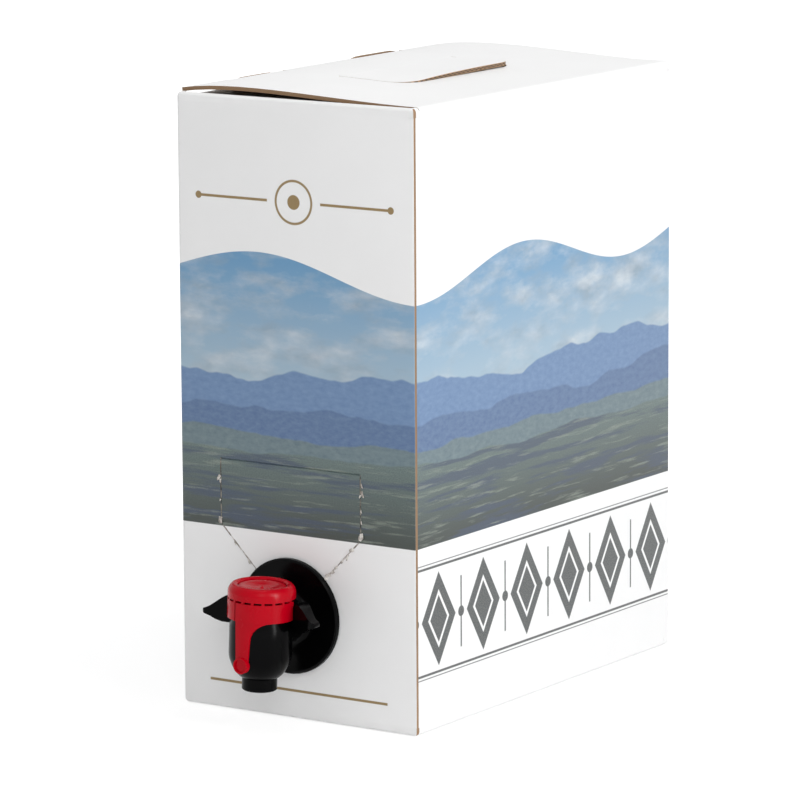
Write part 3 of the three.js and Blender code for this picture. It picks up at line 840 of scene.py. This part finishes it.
tufts_shape = bmesh.new()
taper = tear_half - tear_end.x
for side, level, long, wide in tuft_places:
    height = level * MM
    inward = max((tear_bend - height) / (tear_bend - tear_end.z), 0.0)
    root = Vector((tap_spot.x + side * (tear_half - taper * inward), -half_depth, height))
    slope = Vector((-side * taper, 0.0, tear_end.z - tear_bend)) if inward else straight_down
    lean = Matrix.Rotation(chance.uniform(*lean_range), 3, "Y") @ slope.normalized()
    root.x += side * chance.uniform(*shift_range) * MM
    add_tuft(tufts_shape, root, lean, long * MM, wide * MM, chance.uniform(*stand_range) * MM)
bmesh.ops.recalc_face_normals(tufts_shape, faces=tufts_shape.faces)
wrap_map(tufts_shape, one_finish, round_the_walls)
new_piece("torn_tufts", tufts_shape, math.radians(60), "box", "board", torn_paper)


# The lid is the blank's outer top flap, hinged on the right wall, with the hand flap cut
# in it. The flaps under it spring it up in a shallow bow, and the hand flap has sprung up
# a little further. Their cut edges show the brown board and its flutes.
fold_radius = 1.6 * MM
fold_tuck = 0.2 * MM
hinge_skin = 0.1 * MM
hinge_top = 0.4 * MM
edge_facing = 0.7
top_facing = 0.3
off_the_print = 1.0
flap_cuts = 12
flap_spring = 2.0 * MM
spring_across, spring_along = 1.5, 3


def lid_finish(middle, normal):
    if abs(normal.x) > edge_facing and middle.z > box_height - 2 * board:
        return FLUTED
    if abs(normal.y) > edge_facing:
        return INSIDE
    return OUTSIDE if normal.z > top_facing else INSIDE


def plain_map(at, normal, middle):
    """A stretch of the wrap map that has no print on it."""
    return (at.x + off_the_print, at.y + off_the_print)


def lid_map(at, normal, middle):
    """Along the cut edges and across their thickness, and plain elsewhere."""
    if abs(normal.x) > edge_facing:
        return (at.y, 0.0 if at.z < middle.z else 1.0)
    return plain_map(at, normal, middle)


def cut_back(shape):
    """The lid's hinged end is cut back above, to lie inside the round of its fold."""
    for vert in shape.verts:
        if vert.co.x > half_width - hinge_skin and vert.co.z > box_height - hinge_top:
            vert.co.x -= fold_radius - fold_tuck


def spring_up(shape):
    """The hand flap stands up at its free edge, most at its back end."""
    low, high = [Vector(corner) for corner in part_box("hand_flap")]
    for step in range(1, flap_cuts):
        cut(shape, (0.0, low.y + (high.y - low.y) * step / flap_cuts, 0.0), (0.0, 1.0, 0.0))
    for vert in shape.verts:
        across = (vert.co.x - low.x) / (high.x - low.x)
        back = (vert.co.y - low.y) / (high.y - low.y)
        vert.co.z += flap_spring * across ** spring_across * (1 - (1 - back) ** spring_along)


for name, node, change in (("lid_board", "lid", cut_back),
                           ("hand_flap_board", "hand_flap", spring_up)):
    flap, flap_shape = node_copy(name, node)
    change(flap_shape)
    wrap_map(flap_shape, lid_finish, lid_map)
    for finish in board_finishes:
        flap.data.materials.append(finish)
    finish_copy(flap, flap_shape, node, node)


# The lid's fold is the coated face of the board, carried from the right wall round the
# corner on to the lid.
fold_proud = 0.12 * MM
fold_skin = 0.1 * MM
fold_reach = 4.0 * MM
fold_step = 10
fold_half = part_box("lid")[1][1]


def fold_profile(inset, y):
    """From the wall, round the fold and on to the lid, set in from the coated face."""
    proud = fold_proud - inset
    middle_x, middle_z = half_width - fold_radius, box_height - fold_radius
    points = [(half_width + proud, y, box_height - fold_reach)]
    points += [(middle_x + (fold_radius + proud) * x, y, middle_z + (fold_radius + proud) * z)
               for x, z in arc(fold_step)]
    points.append((half_width - fold_reach, y, box_height + proud))
    return points


fold_shape = bmesh.new()
loft(fold_shape, [fold_profile(0.0, y) + fold_profile(fold_skin, y)[::-1]
                  for y in (-fold_half, fold_half)])
bmesh.ops.recalc_face_normals(fold_shape, faces=fold_shape.faces)
wrap_map(fold_shape, one_finish, plain_map)
lid_fold = new_piece("lid_fold", fold_shape, math.radians(35), None, "board",
                     board_finishes[OUTSIDE])
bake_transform(lid_fold)


# The hand flap folds on a crease in the lid's board. Its coated face runs unbroken over
# the crease.
flap_gap = 0.4 * MM
crease_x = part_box("hand_flap")[0][0]
crease_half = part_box("hand_flap")[1][1] - flap_gap
crease_reach = 1.1 * MM
crease_steps = 8
crease_clearance = 0.01 * MM
cover_least, cover_more = 0.02 * MM, 0.06 * MM
cover_squareness = 4
lid_probe = fold_half - 2.0 * MM
lid_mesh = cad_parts["lid"].data
lid_tree = BVHTree.FromPolygons([vert.co for vert in lid_mesh.vertices],
                                [face.vertices for face in lid_mesh.polygons])


def lid_surface(x):
    """The height of the lid's upper face across it, measured clear of the hand flap."""
    start = Vector((x, lid_probe, 2 * box_height))
    return lid_tree.ray_cast(start, straight_down)[0].z


crease_shape = bmesh.new()
crease_sections = []
for step in range(crease_steps + 1):
    away = 2 * step / crease_steps - 1
    x = crease_x - flap_gap / 2 + away * crease_reach
    under = lid_surface(x) + crease_clearance
    over = under + cover_least + cover_more * (1 - away ** cover_squareness)
    crease_sections.append([(x, -crease_half, under), (x, crease_half, under),
                            (x, crease_half, over), (x, -crease_half, over)])
loft(crease_shape, crease_sections)
bmesh.ops.recalc_face_normals(crease_shape, faces=crease_shape.faces)
wrap_map(crease_shape, one_finish, plain_map)
hand_crease = new_piece("hand_crease", crease_shape, math.radians(50), None, "board",
                        board_finishes[OUTSIDE])
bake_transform(hand_crease)


# The bag is a pillow of silvery barrier film, full of oil. It is pressed square by the
# walls, and its film is finely creased all over.
film, film_tree, film_shader = new_material("barrier_film", 0.28, (0.62, 0.64, 0.66, 1.0))
film_shader.inputs["Metallic"].default_value = 0.85
film_creases = cloudiness(film_tree, object_spot(film_tree), 45.0, 5.0, distortion=1.2)
film_bump = place(film_tree, "ShaderNodeBump",
                  {"Height": film_creases, "Strength": 0.6, "Distance": 2.0 * MM})
film_tree.links.new(film_bump.outputs[0], film_shader.inputs["Normal"])
bag, bag_shape = node_copy("bag_film", "bag")
bag.data.materials.append(film)
finish_copy(bag, bag_shape, "bag", "box", crease=math.radians(50))


# The tap is moulded: a black body with its flange, barrel, wings and spout, a red cap ring
# with its tear-off skirt and strip, a red thumb button, and a pale valve. It is pressed in
# the pale gland of the bag, and stands on its flange a little out of true.
tap_lean = math.radians(2.5)

# Its forms are worked on in millimetres in a frame of its own, which starts at the middle
# of the flange and has z up the tap's body. The reach is how far forward that body stands.
tap_reach = 21.5
tap_frame = (Matrix.Translation(tap_spot) @ Matrix.Rotation(tap_lean, 4, "Y")
             @ Matrix.Scale(MM, 4))
to_tap = tap_frame.inverted()


def moulded(name, colour, roughness, gloss):
    """Moulded plastic with faint flow marks and a little unevenness in its gloss."""
    made, tree, shader = new_material(name, roughness, colour)
    shader.inputs["Specular IOR Level"].default_value = gloss
    unevenness = 0.05
    flow = cloudiness(tree, object_spot(tree), 220.0, 4.0)
    rough = place(tree, "ShaderNodeMapRange",
                  {"Value": flow, 1: 0.3, 2: 0.7, 3: roughness - unevenness,
                   4: roughness + unevenness})
    bump = place(tree, "ShaderNodeBump", {"Height": flow, "Strength": 0.05, "Distance": 0.3 * MM})
    tree.links.new(rough.outputs[0], shader.inputs["Roughness"])
    tree.links.new(bump.outputs[0], shader.inputs["Normal"])
    return made


def ramp(value, start, end):
    """Eases from 0 at the start to 1 at the end."""
    part = min(max((value - start) / (end - start), 0.0), 1.0)
    return part * part * (3 - 2 * part)


def rework(shape, change, cuts):
    """Moves a copy's points in the tap's own frame, after the cuts that the change needs."""
    for at in cuts:
        point = Vector(at)
        cut(shape, tap_frame @ point, (tap_frame.to_3x3() @ point).normalized())
    for vert in shape.verts:
        local = to_tap @ vert.co
        vert.co = tap_frame @ change(local, math.hypot(local.x, local.y + tap_reach))


# Where the body swells and by what share, and how the wings change from root to tip.
body_radius = 13.0
body_foot, body_top = -21.4, 3.4
full_from, full_to = -12.0, 0.5
body_back = -9.5
body_swell = 0.065
wing_root, wing_length = 12.0, 13.0
wing_front, wing_back = -19.0, -8.0
wing_level = 3.9
wing_sweep = 6.0
wing_least, wing_swell = 0.72, 0.72
wing_roundness, wing_tip = 0.7, 0.98
right_wing_lift = 2.0
side_cuts = (body_top, full_to, -4.0, -8.0)
wing_cuts = (14.5, 17.0, 19.5, 22.0, 24.0)
body_cuts = [(0.0, 0.0, level) for level in side_cuts]
body_cuts += [(side * out, 0.0, 0.0) for side in (-1, 1) for out in wing_cuts]


def fuller_body(at, radius):
    """The body swells below the skirt, and the wings sweep forward to fuller tips."""
    if radius < body_radius and body_foot < at.z < body_top and at.y < body_back:
        swell = 1 + (body_swell * ramp(at.z, body_top, full_to)
                     * ramp(at.z, body_foot, full_from))
        return Vector((at.x * swell, (at.y + tap_reach) * swell - tap_reach, at.z))
    if abs(at.x) > wing_root and wing_front < at.y < wing_back:
        out = min((abs(at.x) - wing_root) / wing_length, 1.0)
        full = (wing_least + wing_swell
                * math.sin(math.pi * min(out, wing_tip)) ** wing_roundness)
        lift = right_wing_lift * out if at.x > 0 else 0.0
        level = wing_level + (at.z - wing_level) * full + lift
        return Vector((at.x, at.y - wing_sweep * out, level))
    return at


# The pull end's place and size, the row of slots over the skirt, and the ring's shoulder.
pull_top, pull_from, pull_to = -12.5, -16.9, -14.4
pull_scale = 0.85
slot_foot, slot_middle, slot_head = 9.5, 10.4, 11.2
slot_foot_lift, slot_head_lift = 1.15, 1.5
shoulder_level, shoulder_radius = 13.5, 10.2
shoulder_width, shoulder_drop = 3.7, 1.5


def softer_cap(at, radius):
    """The ring's shoulder is well rounded, its foot is high, and the pull end is small."""
    if at.z < pull_top:
        return Vector((at.x * pull_scale, at.y, pull_to + (at.z - pull_from) * pull_scale))
    if slot_foot < at.z < slot_head:
        lift = slot_head_lift if at.z > slot_middle else slot_foot_lift
        return Vector((at.x, at.y, at.z + lift))
    if at.z > shoulder_level and radius > shoulder_radius:
        drop = shoulder_drop * ((radius - shoulder_radius) / shoulder_width) ** 2
        return Vector((at.x, at.y, at.z - drop))
    return at


# The button's dish, whose depth is a share of what it was, and the nub in its middle.
button_rim, dish_floor = 16.8, 14.5
dish_radius = 9.0
dish_depth = 0.6
nub_radius, nub_height = 0.1, 0.7


def shallow_dish(at, radius):
    """The button's dish is shallow, with a small nub in its middle."""
    if radius < dish_radius and dish_floor < at.z < button_rim:
        nub = nub_height if radius < nub_radius else 0.0
        return Vector((at.x, at.y, button_rim - (button_rim - at.z) * dish_depth + nub))
    return at


def as_moulded(at, radius):
    """The valve's parts and the gland keep their forms."""
    return at


black_plastic = moulded("black_plastic", (0.001, 0.001, 0.0012, 1.0), 0.20, 0.055)
red_plastic = moulded("red_plastic", tint(184, 0, 24), 0.24, 0.10)
natural_plastic = moulded("natural_plastic", (0.78, 0.79, 0.78, 1.0), 0.35, 0.5)

for name, node, body, slot, finish, change, cuts in (
        ("tap_moulding", "tap_body", "box", "black_plastic", black_plastic, fuller_body, body_cuts),
        ("seal_moulding", "seal_cap", "box", "red_plastic", red_plastic, softer_cap, ()),
        ("button_moulding", "push_button", "button", "red_plastic", red_plastic, shallow_dish, ()),
        ("stem_moulding", "valve_stem", "button", "clear_plastic", natural_plastic, as_moulded, ()),
        ("shutter_moulding", "valve_shutter", "button", "clear_plastic", natural_plastic,
         as_moulded, ()),
        ("gland_moulding", "gland", "box", "clear_plastic", natural_plastic, as_moulded, ())):
    piece, piece_shape = node_copy(name, node, flat=math.radians(0.05))
    rework(piece_shape, change, cuts)
    piece.data.materials.append(finish)
    finish_copy(piece, piece_shape, node, body, crease=math.radians(35))
